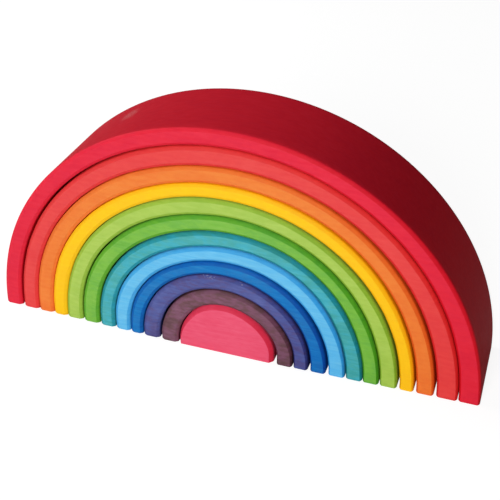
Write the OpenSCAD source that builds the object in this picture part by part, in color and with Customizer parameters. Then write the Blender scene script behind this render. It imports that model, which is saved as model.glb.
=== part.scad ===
// Rainbow stacker: a solid half-round core and the arches that nest over it, each a loose
// block of stained wood that stands on its own feet. Millimetres, +Z up, front face towards -Y.
// Origin: on the floor, in the middle of the nest.

/* [Nest] */
// Depth of every piece, from its front face to its back face
depth = 70; // [40:1:120]
// Room between two pieces beside each other, at the feet
side_gap = 1.3; // [0.6:0.1:4]
// Room between two pieces above each other, at the crown
crown_gap = 0.5; // [0.4:0.1:4]
// How far each piece stands in front of the piece around it
forward_step = 0.35; // [0:0.05:3]

/* [Core] */
// Radius of the core's round top, and half its width
core_radius = 37.6; // [25:0.1:60]
// Height of the core
core_height = 42.6; // [30:0.1:70]

/* [Walls] */
// Wall of the plum arch
plum_wall = 13.3; // [8:0.1:20]
// Wall of the violet arch
violet_wall = 12.3; // [8:0.1:20]
// Wall of the blue arch
blue_wall = 11.2; // [8:0.1:20]
// Wall of the sky blue arch
sky_wall = 12.3; // [8:0.1:20]
// Wall of the teal arch
teal_wall = 11.8; // [8:0.1:20]
// Wall of the green arch
green_wall = 12.2; // [8:0.1:20]
// Wall of the lime arch
lime_wall = 12.5; // [8:0.1:20]
// Wall of the yellow arch
yellow_wall = 11.1; // [8:0.1:20]
// Wall of the orange arch
orange_wall = 12.7; // [8:0.1:20]
// Wall of the red arch
red_wall = 14; // [8:0.1:20]
// Wall of the crimson arch, at its feet
crimson_wall = 14.8; // [8:0.1:20]
// Wall of the crimson arch, at its crown
crimson_crown_wall = 12.7; // [8:0.1:20]

/* [Edges] */
// How far the bevels of the arches' rims reach across the front and back faces
rim_width = 2.6; // [0.5:0.1:3.5]
// How far the bevels of the arches' rims reach along the depth
rim_depth = 1.7; // [0.5:0.1:3.5]
// Bevel of the rims around the front and back faces of the core
core_bevel = 3; // [0.5:0.1:5]
// Bevel of the edges under the feet
foot_bevel = 0.8; // [0.5:0.1:3]

/* [Hidden] */
$fn = 96;
// How far a cutting shape runs past what it cuts
overrun = 1;

// The walls of the arches by their place in the nest, counted from the core, which is place 0
walls = [
    0, plum_wall, violet_wall, blue_wall, sky_wall, teal_wall,
    green_wall, lime_wall, yellow_wall, orange_wall, red_wall, crimson_wall
];
outermost = len(walls) - 1;

// The outermost arch is thinner at its crown than at its feet; the others are even all round
function crown_wall(place) = place == outermost ? crimson_crown_wall : walls[place];

// Radii of a piece's round and of the hollow under it, half their widths where the sides are upright
function outer_radius(place) = place == 0 ? core_radius : hollow_radius(place) + walls[place];
function hollow_radius(place) = outer_radius(place - 1) + side_gap;

// Heights of a piece's crown and of the hollow under it
function crown_height(place) = place == 0 ? core_height : hollow_height(place) + crown_wall(place);
function hollow_height(place) = crown_height(place - 1) + crown_gap;

// Heights of the centres of these rounds: where a centre is above the floor, the round stands on
// straight sides, and where it is below, the floor cuts the round short
function centre_height(place) = crown_height(place) - outer_radius(place);
function hollow_centre(place) = hollow_height(place) - hollow_radius(place);

// Half the width that a round has at the floor
function floor_reach(radius, centre) = sqrt(pow(radius, 2) - pow(min(centre, 0), 2));

// The pieces step forward from the outermost to the core, with the nest's middle at the origin
function piece_y(place) = forward_step * (place - outermost / 2);

// Half of a piece's section: as deep as the piece, with its rims bevelled
module solid_section(place) {
    radius = outer_radius(place);
    bevel_width = place == 0 ? core_bevel : rim_width;
    bevel_depth = place == 0 ? core_bevel : rim_depth;
    half_depth = depth / 2;
    polygon([
        [0, -half_depth],
        [radius - bevel_width, -half_depth],
        [radius, bevel_depth - half_depth],
        [radius, half_depth - bevel_depth],
        [radius - bevel_width, half_depth],
        [0, half_depth]
    ]);
}

// Half of the section of the hollow under an arch: it flares at the front and back to bevel the rims
module hollow_section(place) {
    radius = hollow_radius(place);
    flare = rim_width * (rim_depth + overrun) / rim_depth;
    half_depth = depth / 2;
    polygon([
        [0, -half_depth - overrun],
        [radius + flare, -half_depth - overrun],
        [radius, rim_depth - half_depth],
        [radius, half_depth - rim_depth],
        [radius + flare, half_depth + overrun],
        [0, half_depth + overrun]
    ]);
}

// A half round turned from a half section about a centre at this height, on straight sides that run
// down past the floor
module dome(centre) {
    side_length = max(centre, 0) + overrun;
    translate([0, 0, centre]) {
        rotate([90, 0, 0])
            rotate_extrude(angle = 180) children();
        translate([0, 0, -side_length])
            linear_extrude(side_length)
                for (side = [0, 1])
                    mirror([side, 0]) children();
    }
}

// What a bevel takes off a bottom edge: the corner is at the zero point, and the side of the foot faces
// the way that toward says, 1 for along the section and -1 for against it
module bevel_section(toward) {
    polygon([
        [-toward * (foot_bevel + overrun), -overrun],
        [toward * overrun, -overrun],
        [toward * overrun, foot_bevel + overrun]
    ]);
}

// Bevels a bottom edge that runs along the depth
module side_bevel(reach, toward) {
    translate([reach, 0, 0])
        rotate([90, 0, 0])
            linear_extrude(depth + 2 * overrun, center = true) bevel_section(toward);
}

// Bevels the bottom edge of the back face, and its mirror that of the front face
module face_bevel(half_width) {
    translate([0, depth / 2, 0])
        rotate([90, 0, 90])
            linear_extrude(2 * (half_width + overrun), center = true) bevel_section(1);
}

// Bevels every edge that the piece stands on
module foot_bevels(place) {
    for (side = [0, 1])
        mirror([side, 0, 0]) {
            side_bevel(floor_reach(outer_radius(place), centre_height(place)), 1);
            if (place > 0) side_bevel(floor_reach(hollow_radius(place), hollow_centre(place)), -1);
        }
    for (side = [0, 1])
        mirror([0, side, 0]) face_bevel(outer_radius(place));
}

// Everything under the floor, as wide and deep as the piece needs
module below_floor(place) {
    half_width = outer_radius(place) + overrun;
    translate([-half_width, -depth / 2 - overrun, -half_width])
        cube([2 * half_width, depth + 2 * overrun, half_width]);
}

// One piece of the nest
module piece(place) {
    translate([0, piece_y(place), 0])
        difference() {
            dome(centre_height(place)) solid_section(place);
            if (place > 0) dome(hollow_centre(place)) hollow_section(place);
            below_floor(place);
            foot_bevels(place);
        }
}

module core_pink() { color([0.93, 0.35, 0.45]) piece(0); }
module arch_plum() { color([0.51, 0.35, 0.40]) piece(1); }
module arch_violet() { color([0.35, 0.35, 0.65]) piece(2); }
module arch_blue() { color([0.13, 0.47, 0.76]) piece(3); }
module arch_sky() { color([0.38, 0.75, 0.94]) piece(4); }
module arch_teal() { color([0.25, 0.69, 0.70]) piece(5); }
module arch_green() { color([0.49, 0.75, 0.26]) piece(6); }
module arch_lime() { color([0.67, 0.82, 0.36]) piece(7); }
module arch_yellow() { color([1.00, 0.82, 0.14]) piece(8); }
module arch_orange() { color([0.95, 0.52, 0.24]) piece(9); }
module arch_red() { color([0.93, 0.31, 0.31]) piece(10); }
module arch_crimson() { color([0.89, 0.18, 0.29]) piece(11); }

core_pink();
arch_plum();
arch_violet();
arch_blue();
arch_sky();
arch_teal();
arch_green();
arch_lime();
arch_yellow();
arch_orange();
arch_red();
arch_crimson();
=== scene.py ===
"""Rainbow stacker: a half-round core and eleven arches of stained lime wood, nested on a pale floor.

Each piece is sawn from one thick board, bevelled round its faces, dipped in water stain and sanded
again on the front and back, so those faces are a little paler than the sawn curves.
"""
import math
from collections import namedtuple

import bmesh
import bpy
from mathutils import Matrix, Vector, noise


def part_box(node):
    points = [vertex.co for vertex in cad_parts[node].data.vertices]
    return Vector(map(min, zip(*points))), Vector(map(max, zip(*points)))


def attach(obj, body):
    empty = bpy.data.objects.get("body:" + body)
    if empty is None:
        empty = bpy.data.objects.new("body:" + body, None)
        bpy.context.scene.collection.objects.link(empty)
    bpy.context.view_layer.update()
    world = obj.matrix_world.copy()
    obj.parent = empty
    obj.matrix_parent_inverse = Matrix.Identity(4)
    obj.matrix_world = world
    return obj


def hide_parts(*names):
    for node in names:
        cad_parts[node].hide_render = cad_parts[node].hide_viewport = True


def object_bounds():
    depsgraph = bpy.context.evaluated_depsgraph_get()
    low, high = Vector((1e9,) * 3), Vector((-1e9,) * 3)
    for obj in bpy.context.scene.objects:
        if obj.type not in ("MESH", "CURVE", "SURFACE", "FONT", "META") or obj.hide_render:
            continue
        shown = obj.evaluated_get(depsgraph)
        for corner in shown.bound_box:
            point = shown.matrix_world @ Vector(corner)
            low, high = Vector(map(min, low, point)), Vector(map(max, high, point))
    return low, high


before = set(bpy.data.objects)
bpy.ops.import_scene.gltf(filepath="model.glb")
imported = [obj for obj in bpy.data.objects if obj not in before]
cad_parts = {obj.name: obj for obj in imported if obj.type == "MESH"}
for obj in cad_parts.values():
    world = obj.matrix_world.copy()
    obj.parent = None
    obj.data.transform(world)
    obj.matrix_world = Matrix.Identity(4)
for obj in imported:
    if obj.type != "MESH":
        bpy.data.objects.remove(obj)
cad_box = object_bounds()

MM = 0.001

# The view of the photograph, in millimetres: where the lens is and what it points at, its focal length,
# and how near a thing may come before the lens no longer sees it
EYE = (195.7, -550.2, 461.2)
LOOKS_AT = (7.06, 1.9, 70.99)
LENS = 67.9
NEAREST_SEEN = 10.0

# Edges of every piece, in millimetres
RIM_WIDTH = 2.6
RIM_DEPTH = 1.7
CORE_BEVEL = 3.0
SHOULDER_SOFTENING = 0.4
ARRIS_SOFTENING = 0.8
FOOT_ROUND = 0.5
# How much narrower the rims get towards the feet where sanding was lighter, and the angle above those
# feet where that starts
RIM_TAPER = 0.45
TAPER_START = math.radians(38)

# How a saw cut strays: the waves of its swing over one turn and the angle where the swing starts, then
# how far the saw wanders and trembles, in millimetres, and how many waves that makes over one radian
SWING_WAVES = 3.8
SWING_START = math.radians(36)
SAW_WANDER = 0.25
SAW_WAVES = 2.6
SAW_TREMBLE = 0.12
SAW_TREMBLE_WAVES = 11.0
# How much wider the gaps are over the shoulders than the room that the frame leaves there
SHOULDER_ROOM = 0.35
# What sanding took off the outermost curve
SANDED_OFF = 0.08

# How finely a piece is divided: its steps in millimetres, the segments of softened corners and of feet,
# the least steps from foot to foot, and the distance in millimetres within which points are one
STEP_ALONG = 2.6
STEP_ACROSS = 1.2
STEP_DEEP = 3.2
SOFTENING_SEGMENTS = 3
FOOT_SEGMENTS = 5
LEAST_STEPS = 72
WELD = 0.001

# Growth rings of the board, in millimetres, round a heart that lies under it and behind it, and how far
# they wander over bends of these sizes along X, Y and Z
HEART_BEHIND = 95.0
HEART_BELOW = 140.0
RING_WIDTH = 3.6
RING_WANDER = 16.0
RING_BEND = (90, 45, 45)

# Sizes of the grain and of what stain and use left on the wood, in millimetres along X, Y and Z
LONG_STREAK = (34, 3.0, 3.0)
SHORT_STREAK = (12, 1.2, 1.2)
PORE = (3.0, 0.3, 0.3)
CLOUD = (24, 13, 13)
SPOT = (6, 2.6, 2.6)
CHIP = (2.2, 1.1, 1.1)
FLECK = (1.5, 1.0, 0.8)
# Sizes of the saw's marks, in millimetres along the curve and along the depth; a flat map leaves the
# third one idle
SAW_TOOTH = (1.1, 60, 1)
SAW_PASS = (5.0, 200, 1)

# Colour of the bare wood
PALE_WOOD = (0.93, 0.86, 0.80, 1)
# How much deeper the arches' colour gets towards their right feet, then how much painted shade darkens
# the rims there and how much painted sheen pales those of the left feet
RIGHT_FEET_DEEPER = 0.1
RIGHT_RIM_SHADE = 0.16
LEFT_RIM_SHEEN = 0.08
# How much deeper than on a sanded face the stain goes: on a sawn curve, on the bevels and curves that
# cross the grain, in the rings and pores, and in the clouds and spots of a patchy piece
CURVE_DEPTH = 0.2
BEVEL_END_DEPTH = 0.2
CURVE_END_DEPTH = 0.1
RING_DEPTH = 0.012
PORE_DEPTH = 0.1
CLOUD_DEPTH = 0.5
SPOT_DEPTH = 0.45
# How much easier a worn piece chips at its rims, and how bare a chip is
CHIP_EASE = 0.16
CHIP_BARENESS = 0.5
# Roughness of the sanded wood, and what curves, streaks and pores add to it
SANDED_ROUGHNESS = 0.6
CURVE_ROUGHNESS = 0.06
STREAK_ROUGHNESS = 0.12
PORE_ROUGHNESS = 0.1
# Relief as shares of the bump's depth, then that depth in millimetres and how strongly it shows
STREAK_RELIEF = 0.35
PORE_RELIEF = -0.6
SAW_RELIEF = 0.8
WORN_RELIEF = -0.5
BUMP_DEPTH = 0.12
BUMP_STRENGTH = 0.4
# How much the matt wood still shines
SPECULAR = 0.12

# Where one thing goes over into another, each as the value where it starts and the one where it is over:
# noise levels for pores, patches and chips, the share of a normal that points to the front or back for
# faces and curves, the distance from a mark's centre as a share of its reach, and the turn from the
# right foot to the left for the painted shade and sheen on the rims and for the deeper colour at the right
# feet
PORE_OPENS = (0.16, 0.26)
PATCH_STARTS = (-0.12, 0.18)
CHIP_STARTS = (0.3, 0.4)
FACE_STARTS = (0.86, 0.98)
CURVE_ENDS = (0.25, 0.6)
MARK_ENDS = (0.2, 1.0)
RIM_LIGHT_ENDS = (0.2, 0.8)
DEEPER_ENDS = (0.0, 0.4)
# The noise level where the flecks of a mark start
FLECK_STARTS = 0.1

# Studio: how far the floor reaches in metres, how pale it is to light and to the lens, how brightly it
# glows to the lens, and how brightly the air lights the nest
FLOOR_REACH = 6.0
FLOOR_BOUNCE = 0.8
FLOOR_SHADING = 0.3
FLOOR_GLOW = 0.87
AIR_GLOW = 0.04

SoftBox = namedtuple("SoftBox", "toward distance across watts")

# Soft boxes: the way to each from the nest, how far off and how wide it is in metres, and its power
SOFT_BOXES = {
    "front_soft_box": SoftBox((-0.01, -0.94, 0.34), 2.2, 1.1, 39.5),
    "side_soft_box": SoftBox((-0.8, 0.1, 0.6), 2.0, 1.0, 19),
}

Stain = namedtuple("Stain", "piece colour patches patchiness grain wear soaked")

# Stains by node, from the core outwards: the colour that the sanded faces show, the colour of the
# patches where the stain has taken differently, how patchy the piece is, how strongly its grain shows,
# how worn it is, and how much deeper its bevelled rims are, partly soaked-up stain and partly painted shade
STAINS = {
    "core_pink": Stain("pink_core", "EA5774", "E6506F", 0.3, 0.2, 0.1, 0.3),
    "arch_plum": Stain("plum_arch", "7B5165", "6F5255", 0.8, 0.1, 0.2, 0.08),
    "arch_violet": Stain("violet_arch", "525B99", "635887", 0.7, 0.25, 0.5, 0.1),
    "arch_blue": Stain("blue_arch", "1675BD", "367CB8", 0.4, 0.4, 0.3, 0.25),
    "arch_sky": Stain("sky_arch", "65BDEB", "73BDE2", 0.3, 0.4, 0.1, 0.4),
    "arch_teal": Stain("teal_arch", "46ACBB", "58ACA2", 0.6, 0.35, 0.1, 0.42),
    "arch_green": Stain("green_arch", "7BB946", "70B354", 0.5, 0.22, 0.1, 0.34),
    "arch_lime": Stain("lime_arch", "AAC959", "A2C45A", 0.4, 0.18, 0.1, 0.28),
    "arch_yellow": Stain("yellow_arch", "FDC71A", "F8C12E", 0.3, 0.06, 0.1, 0.08),
    "arch_orange": Stain("orange_arch", "ED8139", "E97A3E", 0.35, 0.1, 0.1, 0.1),
    "arch_red": Stain("red_arch", "E54847", "E1464D", 0.35, 0.08, 0.1, 0.16),
    "arch_crimson": Stain("crimson_arch", "E12A40", "DA2C4A", 0.35, 0.13, 0.2, 0.1),
}

Cut = namedtuple("Cut", "lean swing settled widened")

# Saw cuts by the node that each goes round, in millimetres: how far to the right the cut leans, how
# far it swings out over the shoulders, how far to the left the piece has settled inside it, and how
# much wider the gap is at the feet than the room that the frame leaves there
CUTS = {
    "core_pink": Cut(0.7, -0.5, 0.8, 0.4),
    "arch_plum": Cut(0.0, -0.3, -0.4, -0.1),
    "arch_violet": Cut(-1.1, -0.1, 0.5, 0.0),
    "arch_blue": Cut(0.4, 0.5, 0.7, 0.0),
    "arch_sky": Cut(1.0, 1.2, 0.0, -0.5),
    "arch_teal": Cut(0.5, 1.0, -0.3, -0.6),
    "arch_green": Cut(-0.8, 0.7, -0.1, -0.3),
    "arch_lime": Cut(-1.2, 0.3, 0.7, -0.2),
    "arch_yellow": Cut(-1.0, 0.8, 0.7, -0.2),
    "arch_orange": Cut(-0.6, 0.8, 0.7, -0.1),
    "arch_red": Cut(0.0, 0.3, -0.6, 0.0),
}

Mark = namedtuple("Mark", "centre reach share softness")

# Places where pieces were knocked or rubbed, in millimetres: the centre and reach of each, how much of
# it is bare, and how softly the bare wood goes over into the stain
MARKS = {
    "arch_violet": [Mark((-11, -35, 67), (11, 3, 3), 0.12, 0.5), Mark((13, -35, 67), (6, 3, 3), 0.12, 0.5)],
    "arch_crimson": [Mark((-88, 12, 162), (14, 18, 10), 0.42, 1.7)],
}

Round = namedtuple("Round", "radius centre")
Size = namedtuple("Size", "outer hollow front back")


def linear(hex_colour):
    """The shader's colour for a colour as a screen shows it."""
    channels = [int(hex_colour[place:place + 2], 16) / 255 for place in (0, 2, 4)]
    return [c / 12.92 if c <= 0.04045 else ((c + 0.055) / 1.055) ** 2.4 for c in channels] + [1]


# Shapes


def round_through(crown, side):
    """The round about the upright middle line with this crown height and a point of its side."""
    centre = (crown ** 2 - side.z ** 2 - side.x ** 2) / (2 * (crown - side.z))
    return Round(crown - centre, centre)


def measure(node):
    """A piece's outer round, the round of the hollow under it, and its front and back, from the frame."""
    low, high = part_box(node)
    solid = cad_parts[node]
    middle = (low[1] + high[1]) / 2
    crown = high[2]
    _, flank, _, _ = solid.ray_cast(Vector((high[0] + crown, middle, crown / 2)), Vector((-1, 0, 0)))
    _, roof, _, _ = solid.ray_cast(Vector((0, middle, -crown)), Vector((0, 0, 1)))
    outer = round_through(crown, flank)
    if roof.z < FOOT_ROUND * MM:
        return Size(outer, None, low[1], high[1])
    _, flank, _, _ = solid.ray_cast(Vector((0, middle, roof.z / 2)), Vector((1, 0, 0)))
    return Size(outer, round_through(roof.z, flank), low[1], high[1])


def rim_of(size):
    """How far the bevel of a piece's rims reaches across its faces and along its depth."""
    return (RIM_WIDTH * MM, RIM_DEPTH * MM) if size.hollow else (CORE_BEVEL * MM, CORE_BEVEL * MM)


def soften(bm, corners, width):
    """Rounds the corners of an outline."""
    bmesh.ops.bevel(
        bm, geom=corners, offset=width * MM, offset_type="OFFSET", segments=SOFTENING_SEGMENTS, profile=0.5,
        affect="VERTICES", clamp_overlap=True, material=-1,
    )


def outline(bm, size):
    """The section of a piece at the foot of its round, on the right: a slab with bevelled corners."""
    outer = size.outer.radius
    width, deep = rim_of(size)
    corners = [
        (outer - width, size.front), (outer, size.front + deep),
        (outer, size.back - deep), (outer - width, size.back),
    ]
    inner = 0
    if size.hollow:
        inner = size.hollow.radius
        corners += [
            (inner + width, size.back), (inner, size.back - deep),
            (inner, size.front + deep), (inner + width, size.front),
        ]
    else:
        corners += [(inner, size.back), (inner, size.front)]
    bm.faces.new([bm.verts.new((x, y, size.outer.centre)) for x, y in corners])
    tiny = WELD * MM
    faces = (size.front, size.back)
    on_axis = [v for v in bm.verts if v.co.x < tiny]
    shoulders = [v for v in bm.verts if v not in on_axis and min(abs(v.co.y - y) for y in faces) < tiny]
    soften(bm, shoulders, SHOULDER_SOFTENING)
    sides = (inner, outer)
    arrises = [v for v in bm.verts if v.co.x > tiny and min(abs(v.co.x - x) for x in sides) < tiny]
    soften(bm, arrises, ARRIS_SOFTENING)
    bmesh.ops.delete(bm, geom=bm.faces[:], context="FACES_ONLY")
    on_axis = [e for e in bm.edges if all(v.co.x < tiny for v in e.verts)]
    bmesh.ops.delete(bm, geom=on_axis, context="EDGES")
    for edge in bm.edges[:]:
        first, second = (v.co for v in edge.verts)
        along_depth = abs(first.y - second.y) > abs(first.x - second.x)
        cuts = int(edge.calc_length() / ((STEP_DEEP if along_depth else STEP_ACROSS) * MM))
        if cuts:
            bmesh.ops.subdivide_edges(bm, edges=[edge], cuts=cuts)


def open_edges(bm):
    return [e for e in bm.edges if e.is_boundary]


def turn(bm, size):
    """Turns the section over from the right foot to the left one, and runs both feet down past the floor."""
    centre = size.outer.centre
    steps = max(LEAST_STEPS, int(math.pi * size.outer.radius / (STEP_ALONG * MM)))
    bmesh.ops.spin(
        bm, geom=bm.verts[:] + bm.edges[:], cent=(0, 0, centre), axis=(0, -1, 0), angle=math.pi,
        steps=steps, use_merge=False, use_duplicate=False,
    )
    tiny = WELD * MM
    ends = [e for e in open_edges(bm) if all(abs(v.co.z - centre) < tiny for v in e.verts)]
    ends = [e for e in ends if any(abs(v.co.x) > tiny for v in e.verts)]
    legs = bmesh.ops.extrude_edge_only(bm, edges=ends)["geom"]
    below = -abs(centre) - centre - FOOT_ROUND * MM
    bmesh.ops.translate(bm, verts=[g for g in legs if isinstance(g, bmesh.types.BMVert)], vec=(0, 0, below))
    bmesh.ops.remove_doubles(bm, verts=bm.verts[:], dist=tiny)


def around(size, place):
    """Where a point lies on a piece: its reach from the middle, its angle, and its depth below the round."""
    rise = place.z - size.outer.centre
    if rise > 0:
        return math.hypot(rise, place.x), math.atan2(rise, place.x), 0
    return abs(place.x), 0 if place.x > 0 else math.pi, -rise


def way_out(size, place):
    """The way out from the middle of a piece at a point: along the radius, and level below the round."""
    return Vector((place.x, 0, max(place.z - size.outer.centre, 0))).normalized()


def cut_sides(place, angle):
    """How far outwards the two sides of the cut around a piece lie at an angle, in metres.

    One cut made both, so they stray together; the piece inside it has since settled sideways, and
    sanding has opened the gap over the shoulders.
    """
    cut = list(CUTS.values())[place]
    swing = cut.swing * math.sin(SWING_WAVES * (angle - SWING_START))
    wander = SAW_WANDER * noise.noise(Vector((angle * SAW_WAVES, place, 0)))
    tremble = SAW_TREMBLE * noise.noise(Vector((angle * SAW_TREMBLE_WAVES, place, 1)))
    beside = math.cos(angle)
    middle = cut.lean * beside + swing + wander + tremble
    room = cut.settled * beside + cut.widened * beside ** 2 + SHOULDER_ROOM * math.sin(2 * angle) ** 2
    apart = room / 2
    return (middle - apart) * MM, (middle + apart) * MM


def follow_the_saw(bm, size, place):
    """Moves the two sides of a wall to where the saw went."""
    outer = size.outer.radius
    inner = size.hollow.radius if size.hollow else 0
    lift = size.hollow.centre - size.outer.centre if size.hollow else 0
    for v in bm.verts:
        reach, angle, _ = around(size, v.co)
        inward = 0
        if size.hollow:
            hollow = lift * math.sin(angle) + math.sqrt(inner ** 2 - (lift * math.cos(angle)) ** 2)
            inward = hollow - inner + cut_sides(place - 1, angle)[1]
        outward = -SANDED_OFF * MM
        if place < len(CUTS):
            outward = cut_sides(place, angle)[0]
        share = (reach - inner) / (outer - inner)
        share = share ** 2 * (3 - 2 * share)
        v.co += way_out(size, v.co) * (inward * (1 - share) + outward * share)


def taper_rims(bm, size):
    """Narrows the rims towards one foot, where the sanding was lighter: an arch's right, the core's left."""
    width, deep = rim_of(size)
    inner = size.hollow.radius if size.hollow else -size.outer.radius
    middle = (size.outer.radius + inner) / 2
    half_flat = (size.outer.radius - inner) / 2 - width
    for v in bm.verts:
        reach, angle, _ = around(size, v.co)
        above_foot = angle if size.hollow else math.pi - angle
        behind = min(v.co.y - size.front, size.back - v.co.y)
        on_face = max(0, 1 - behind / deep)
        near_foot = max(0, 1 - above_foot / TAPER_START)
        outward = max(-1, min(1, (reach - middle) / half_flat))
        v.co += way_out(size, v.co) * (RIM_TAPER * width * on_face * near_foot * outward)


def stand(bm, size):
    """Cuts a piece off above the floor and rounds its feet down to it."""
    foot = FOOT_ROUND * MM
    bmesh.ops.bisect_plane(
        bm, geom=bm.verts[:] + bm.edges[:] + bm.faces[:], plane_co=(0, 0, foot), plane_no=(0, 0, 1),
        clear_inner=True,
    )
    rim = open_edges(bm)
    feet = [[e for e in rim if side * e.verts[0].co.x > 0] for side in (1, -1)] if size.hollow else [rim]
    for ring in feet:
        xs = [v.co.x for e in ring for v in e.verts]
        ys = [v.co.y for e in ring for v in e.verts]
        middle = Vector(((min(xs) + max(xs)) / 2, (min(ys) + max(ys)) / 2, 0))
        wide, deep = max(xs) - min(xs), max(ys) - min(ys)
        before = 0
        for segment in range(1, FOOT_SEGMENTS + 1):
            angle = math.pi / 2 * segment / FOOT_SEGMENTS
            inset = 2 * foot * (1 - math.cos(angle))
            made = bmesh.ops.extrude_edge_only(bm, edges=ring)["geom"]
            ring = [g for g in made if isinstance(g, bmesh.types.BMEdge)]
            verts = [g for g in made if isinstance(g, bmesh.types.BMVert)]
            shrink = ((wide - inset) / (wide - before), (deep - inset) / (deep - before), 1)
            bmesh.ops.scale(bm, vec=shrink, space=Matrix.Translation(-middle), verts=verts)
            for v in verts:
                v.co.z = foot * (1 - math.sin(angle))
            before = inset
        bmesh.ops.edgeloop_fill(bm, edges=ring)


def map_the_piece(bm, size):
    """Maps the way along each curve and the depth, and each point's turn from the right foot to the left."""
    sawn = bm.loops.layers.uv.new("sawn")
    turned = bm.verts.layers.float.new("turned")
    for v in bm.verts:
        _, angle, _ = around(size, v.co)
        v[turned] = angle / math.pi
    for face in bm.faces:
        for loop in face.loops:
            _, angle, below = around(size, loop.vert.co)
            along = angle * size.outer.radius + (below if loop.vert.co.x < 0 else -below)
            loop[sawn].uv = (along, loop.vert.co.y)


def wooden_piece(node, place):
    """One finished piece, in the place of its node."""
    size = measure(node)
    bm = bmesh.new()
    outline(bm, size)
    turn(bm, size)
    map_the_piece(bm, size)
    taper_rims(bm, size)
    follow_the_saw(bm, size, place)
    stand(bm, size)
    for face in bm.faces:
        face.smooth = True
    bmesh.ops.recalc_face_normals(bm, faces=bm.faces[:])
    name = STAINS[node].piece
    mesh = bpy.data.meshes.new(name)
    bm.to_mesh(mesh)
    bm.free()
    piece = bpy.data.objects.new(name, mesh)
    bpy.context.scene.collection.objects.link(piece)
    return piece


# Finishes


def feed(tree, socket, value):
    """Links an output to a socket, or sets the socket's own value."""
    if isinstance(value, bpy.types.NodeSocket):
        tree.links.new(value, socket)
    else:
        socket.default_value = value


def maths(tree, operation, *values):
    node = tree.nodes.new("ShaderNodeMath")
    node.operation = operation
    for socket, value in zip(node.inputs, values):
        feed(tree, socket, value)
    return node.outputs[0]


def total(tree, *values):
    result = values[0]
    for value in values[1:]:
        result = maths(tree, "ADD", result, value)
    return result


def product(tree, *values):
    result = values[0]
    for value in values[1:]:
        result = maths(tree, "MULTIPLY", result, value)
    return result


def ramp(tree, value, low, high, to_low=0.0, to_high=1.0):
    """Goes smoothly from one value to another as the input goes from low to high."""
    node = tree.nodes.new("ShaderNodeMapRange")
    node.interpolation_type = "SMOOTHSTEP"
    for name, setting in (
        ("Value", value), ("From Min", low), ("From Max", high), ("To Min", to_low), ("To Max", to_high),
    ):
        feed(tree, node.inputs[name], setting)
    return node.outputs["Result"]


def blend(tree, share, first, second):
    """Mixes two colours. The node has sockets of the same names for other kinds, so places pick these."""
    node = tree.nodes.new("ShaderNodeMix")
    node.data_type = "RGBA"
    for place, value in ((0, share), (6, first), (7, second)):
        feed(tree, node.inputs[place], value)
    return node.outputs[2]


def vectors(tree, operation, *values):
    node = tree.nodes.new("ShaderNodeVectorMath")
    node.operation = operation
    for socket, value in zip(node.inputs, values):
        feed(tree, socket, value)
    return node.outputs


def speckle(tree, place, size, detail=2.0, seed=0.0):
    """Noise whose grains have this size in millimetres along X, Y and Z, around zero."""
    mapping = tree.nodes.new("ShaderNodeMapping")
    feed(tree, mapping.inputs["Vector"], place)
    mapping.inputs["Scale"].default_value = [1 / (length * MM) for length in size]
    node = tree.nodes.new("ShaderNodeTexNoise")
    node.noise_dimensions = "4D"
    feed(tree, node.inputs["Vector"], mapping.outputs["Vector"])
    feed(tree, node.inputs["W"], seed)
    node.inputs["Scale"].default_value = 1
    node.inputs["Detail"].default_value = detail
    return maths(tree, "SUBTRACT", node.outputs["Fac"], 0.5)


def start_group(name, inputs, outputs):
    """An empty node group with its sockets, and its two end nodes."""
    tree = bpy.data.node_groups.new(name, "ShaderNodeTree")
    for way, sockets in (("INPUT", inputs), ("OUTPUT", outputs)):
        for socket, kind in sockets:
            tree.interface.new_socket(socket, in_out=way, socket_type="NodeSocket" + kind)
    return tree, tree.nodes.new("NodeGroupInput"), tree.nodes.new("NodeGroupOutput")


def place_group(tree, group):
    node = tree.nodes.new("ShaderNodeGroup")
    node.node_tree = group
    return node


def lime_grain_group():
    """Grain of a lime board that runs along the width: fine streaks, faint growth rings and open pores."""
    tree, given, ends = start_group(
        "lime_grain", [("Piece", "Float")], [("Streaks", "Float"), ("Rings", "Float"), ("Pores", "Float")],
    )
    place = tree.nodes.new("ShaderNodeTexCoord").outputs["Object"]
    board = given.outputs["Piece"]
    streaks = total(
        tree,
        speckle(tree, place, LONG_STREAK, detail=3, seed=board),
        speckle(tree, place, SHORT_STREAK, detail=2, seed=board),
    )
    feed(tree, ends.inputs["Streaks"], streaks)

    apart = tree.nodes.new("ShaderNodeSeparateXYZ")
    feed(tree, apart.inputs[0], place)
    behind = maths(tree, "SUBTRACT", apart.outputs["Y"], HEART_BEHIND * MM)
    above = maths(tree, "ADD", apart.outputs["Z"], HEART_BELOW * MM)
    reach = maths(tree, "SQRT", total(tree, maths(tree, "POWER", behind, 2), maths(tree, "POWER", above, 2)))
    bend = product(tree, speckle(tree, place, RING_BEND, detail=2), RING_WANDER * MM)
    years = maths(tree, "DIVIDE", total(tree, reach, bend), RING_WIDTH * MM)
    feed(tree, ends.inputs["Rings"], maths(tree, "SINE", product(tree, years, 2 * math.pi)))

    pores = ramp(tree, speckle(tree, place, PORE, detail=1, seed=board), *PORE_OPENS)
    feed(tree, ends.inputs["Pores"], pores)
    return tree


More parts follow.
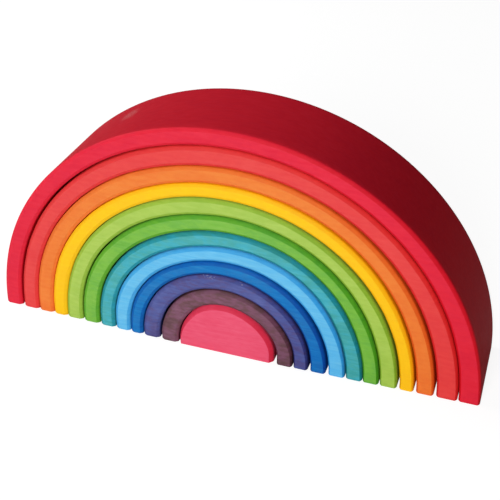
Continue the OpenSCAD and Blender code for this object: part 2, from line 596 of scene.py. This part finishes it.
def sawn_and_sanded_group():
    """Where a saw left its curve, where a rim is bevelled, where the grain ends, and the saw's marks."""
    tree, _, ends = start_group(
        "sawn_and_sanded", [],
        [("Curve", "Float"), ("Bevel", "Float"), ("End Grain", "Float"), ("Saw Marks", "Float")],
    )
    apart = tree.nodes.new("ShaderNodeSeparateXYZ")
    feed(tree, apart.inputs[0], tree.nodes.new("ShaderNodeTexCoord").outputs["Normal"])
    flatness = maths(tree, "ABSOLUTE", apart.outputs["Y"])
    flat = ramp(tree, flatness, *FACE_STARTS)
    curve = ramp(tree, flatness, *CURVE_ENDS, 1.0, 0.0)
    feed(tree, ends.inputs["Curve"], curve)
    feed(tree, ends.inputs["Bevel"], maths(tree, "SUBTRACT", maths(tree, "SUBTRACT", 1.0, flat), curve))
    feed(tree, ends.inputs["End Grain"], maths(tree, "POWER", maths(tree, "ABSOLUTE", apart.outputs["X"]), 2))
    way = tree.nodes.new("ShaderNodeUVMap")
    way.uv_map = "sawn"
    marks = total(
        tree,
        speckle(tree, way.outputs["UV"], SAW_TOOTH, detail=1),
        speckle(tree, way.outputs["UV"], SAW_PASS, detail=1),
    )
    feed(tree, ends.inputs["Saw Marks"], product(tree, marks, curve))
    return tree


def rubbed_group():
    """Pale flecks where a piece was knocked or rubbed: a spot of them round a centre."""
    tree, given, ends = start_group(
        "rubbed",
        [("Centre", "Vector"), ("Reach", "Vector"), ("Share", "Float"), ("Softness", "Float")],
        [("Rubbed", "Float")],
    )
    place = tree.nodes.new("ShaderNodeTexCoord").outputs["Object"]
    offset = vectors(tree, "SUBTRACT", place, given.outputs["Centre"])["Vector"]
    scaled = vectors(tree, "DIVIDE", offset, given.outputs["Reach"])["Vector"]
    near = ramp(tree, vectors(tree, "LENGTH", scaled)["Value"], *MARK_ENDS, 1.0, 0.0)
    flecks = speckle(tree, place, FLECK, detail=3)
    level = total(tree, flecks, product(tree, near, given.outputs["Share"]))
    bare_level = maths(tree, "ADD", given.outputs["Softness"], FLECK_STARTS)
    feed(tree, ends.inputs["Rubbed"], product(tree, near, ramp(tree, level, FLECK_STARTS, bare_level)))
    return tree


def water_stain_group(grain, faces):
    """Water stain on lime wood, deeper on sawn curves than on faces sanded afterwards; painted shade deepens
    the rims towards the arches' right feet and painted sheen pales them towards the left ones.
    """
    tree, given, ends = start_group(
        "water_stain",
        [
            ("Stain", "Color"), ("Patches", "Color"), ("Patchiness", "Float"), ("Grain", "Float"),
            ("Wear", "Float"), ("Soaked", "Float"), ("Rubbed", "Float"), ("Piece", "Float"),
        ],
        [("Color", "Color"), ("Roughness", "Float"), ("Height", "Float")],
    )
    place = tree.nodes.new("ShaderNodeTexCoord").outputs["Object"]
    board = given.outputs["Piece"]
    wood = place_group(tree, grain)
    feed(tree, wood.inputs["Piece"], board)
    wood = wood.outputs
    made = place_group(tree, faces).outputs
    patchiness = given.outputs["Patchiness"]

    clouds = speckle(tree, place, CLOUD, detail=3, seed=board)
    spots = speckle(tree, place, SPOT, detail=2, seed=board)
    patches = ramp(tree, total(tree, clouds, spots), *PATCH_STARTS)
    colour = blend(tree, product(tree, patches, patchiness), given.outputs["Stain"], given.outputs["Patches"])

    turned = tree.nodes.new("ShaderNodeAttribute")
    turned.attribute_name = "turned"
    turned = turned.outputs["Fac"]
    is_arch = maths(tree, "MINIMUM", board, 1.0)
    # The rims' depth: soaked-up stain and painted shade on every rim, more painted shade towards the right
    # feet and painted sheen that pales the rims of the left feet
    soaked = total(tree, given.outputs["Soaked"], ramp(tree, turned, *RIM_LIGHT_ENDS, RIGHT_RIM_SHADE, -LEFT_RIM_SHEEN))
    depth = total(
        tree,
        1.0,
        # Deeper colour towards the arches' right feet
        product(tree, ramp(tree, turned, *DEEPER_ENDS, RIGHT_FEET_DEEPER, 0.0), is_arch),
        product(tree, made["Curve"], CURVE_DEPTH),
        product(tree, made["Bevel"], soaked),
        product(tree, made["Bevel"], made["End Grain"], BEVEL_END_DEPTH),
        product(tree, made["Curve"], made["End Grain"], CURVE_END_DEPTH),
        product(tree, wood["Streaks"], given.outputs["Grain"]),
        product(tree, wood["Rings"], RING_DEPTH),
        product(tree, wood["Pores"], PORE_DEPTH),
        product(tree, clouds, patchiness, CLOUD_DEPTH),
        product(tree, spots, patchiness, SPOT_DEPTH),
    )
    taken = tree.nodes.new("ShaderNodeGamma")
    feed(tree, taken.inputs["Color"], colour)
    feed(tree, taken.inputs["Gamma"], depth)

    chips = speckle(tree, place, CHIP, detail=2, seed=board)
    chip_level = total(tree, chips, product(tree, given.outputs["Wear"], CHIP_EASE))
    chipped = product(tree, ramp(tree, chip_level, *CHIP_STARTS), made["Bevel"], CHIP_BARENESS)
    worn = maths(tree, "MINIMUM", total(tree, chipped, given.outputs["Rubbed"]), 1.0)
    feed(tree, ends.inputs["Color"], blend(tree, worn, taken.outputs["Color"], PALE_WOOD))

    roughness = total(
        tree,
        SANDED_ROUGHNESS,
        product(tree, made["Curve"], CURVE_ROUGHNESS),
        product(tree, wood["Streaks"], STREAK_ROUGHNESS),
        product(tree, wood["Pores"], PORE_ROUGHNESS),
    )
    feed(tree, ends.inputs["Roughness"], roughness)
    height = total(
        tree,
        product(tree, wood["Streaks"], STREAK_RELIEF),
        product(tree, wood["Pores"], PORE_RELIEF),
        product(tree, made["Saw Marks"], SAW_RELIEF),
        product(tree, worn, WORN_RELIEF),
    )
    feed(tree, ends.inputs["Height"], height)
    return tree


rubbed = rubbed_group()
water_stain = water_stain_group(lime_grain_group(), sawn_and_sanded_group())


def stained_wood(node, place):
    """The finish of one piece."""
    stain = STAINS[node]
    material = bpy.data.materials.new(stain.piece.split("_")[0] + "_stain")
    material.use_nodes = True
    tree = material.node_tree
    shader = tree.nodes["Principled BSDF"]
    finish = place_group(tree, water_stain)
    settings = {
        "Stain": linear(stain.colour), "Patches": linear(stain.patches), "Patchiness": stain.patchiness,
        "Grain": stain.grain, "Wear": stain.wear, "Soaked": stain.soaked, "Piece": place,
    }
    for name, value in settings.items():
        finish.inputs[name].default_value = value
    spots = []
    for mark in MARKS.get(node, []):
        spot = place_group(tree, rubbed)
        spot.inputs["Centre"].default_value = Vector(mark.centre) * MM
        spot.inputs["Reach"].default_value = Vector(mark.reach) * MM
        spot.inputs["Share"].default_value = mark.share
        spot.inputs["Softness"].default_value = mark.softness
        spots.append(spot.outputs["Rubbed"])
    if spots:
        feed(tree, finish.inputs["Rubbed"], total(tree, *spots))
    bump = tree.nodes.new("ShaderNodeBump")
    bump.inputs["Strength"].default_value = BUMP_STRENGTH
    bump.inputs["Distance"].default_value = BUMP_DEPTH * MM
    feed(tree, bump.inputs["Height"], finish.outputs["Height"])
    feed(tree, shader.inputs["Base Color"], finish.outputs["Color"])
    feed(tree, shader.inputs["Roughness"], finish.outputs["Roughness"])
    feed(tree, shader.inputs["Normal"], bump.outputs["Normal"])
    shader.inputs["Specular IOR Level"].default_value = SPECULAR
    return material


for place, node in enumerate(STAINS):
    piece = wooden_piece(node, place)
    piece.data.materials.append(stained_wood(node, place))
    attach(piece, node)
    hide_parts(node)


# Studio


def look_at(thing, eye, target):
    thing.location = eye
    thing.rotation_euler = (target - eye).to_track_quat("-Z", "Y").to_euler()


def studio_floor():
    """A sweep of pale paper. The lens sees it nearly white, with a faint shadow."""
    bm = bmesh.new()
    bmesh.ops.create_grid(bm, x_segments=1, y_segments=1, size=FLOOR_REACH)
    mesh = bpy.data.meshes.new("floor")
    bm.to_mesh(mesh)
    bm.free()
    floor = bpy.data.objects.new("floor", mesh)
    bpy.context.scene.collection.objects.link(floor)
    paper = bpy.data.materials.new("floor_paper")
    paper.use_nodes = True
    tree = paper.node_tree
    shader = tree.nodes["Principled BSDF"]
    seen = tree.nodes.new("ShaderNodeLightPath").outputs["Is Camera Ray"]
    bounce, shading = ((*[paleness] * 3, 1) for paleness in (FLOOR_BOUNCE, FLOOR_SHADING))
    feed(tree, shader.inputs["Base Color"], blend(tree, seen, bounce, shading))
    feed(tree, shader.inputs["Emission Strength"], product(tree, seen, FLOOR_GLOW))
    shader.inputs["Emission Color"].default_value = (1, 1, 1, 1)
    shader.inputs["Roughness"].default_value = 1
    shader.inputs["Specular IOR Level"].default_value = 0
    mesh.materials.append(paper)


def stand_soft_box(name):
    """A soft box that shines on the middle of the nest from its direction."""
    light = SOFT_BOXES[name]
    lamp = bpy.data.lights.new(name, "AREA")
    lamp.shape = "DISK"
    lamp.size = light.across
    lamp.energy = light.watts
    box = bpy.data.objects.new(name, lamp)
    middle = (Vector(cad_box[0]) + Vector(cad_box[1])) / 2
    look_at(box, middle + Vector(light.toward).normalized() * light.distance, middle)
    bpy.context.scene.collection.objects.link(box)


def studio_air():
    """Dim light from all round; past the floor's edge the lens sees white."""
    world = bpy.data.worlds.new("studio_air")
    world.use_nodes = True
    tree = world.node_tree
    air = tree.nodes["Background"]
    air.inputs["Color"].default_value = (1, 1, 1, 1)
    seen = tree.nodes.new("ShaderNodeLightPath").outputs["Is Camera Ray"]
    feed(tree, air.inputs["Strength"], ramp(tree, seen, 0.0, 1.0, AIR_GLOW, 1.0))
    bpy.context.scene.world = world


def photo_camera():
    lens = bpy.data.cameras.new("camera")
    lens.lens = LENS
    lens.clip_start = NEAREST_SEEN * MM
    camera = bpy.data.objects.new("camera", lens)
    look_at(camera, Vector(EYE) * MM, Vector(LOOKS_AT) * MM)
    bpy.context.scene.collection.objects.link(camera)
    bpy.context.scene.camera = camera


studio_floor()
studio_air()
for name in SOFT_BOXES:
    stand_soft_box(name)
photo_camera()
bpy.context.scene.view_settings.view_transform = "Standard"
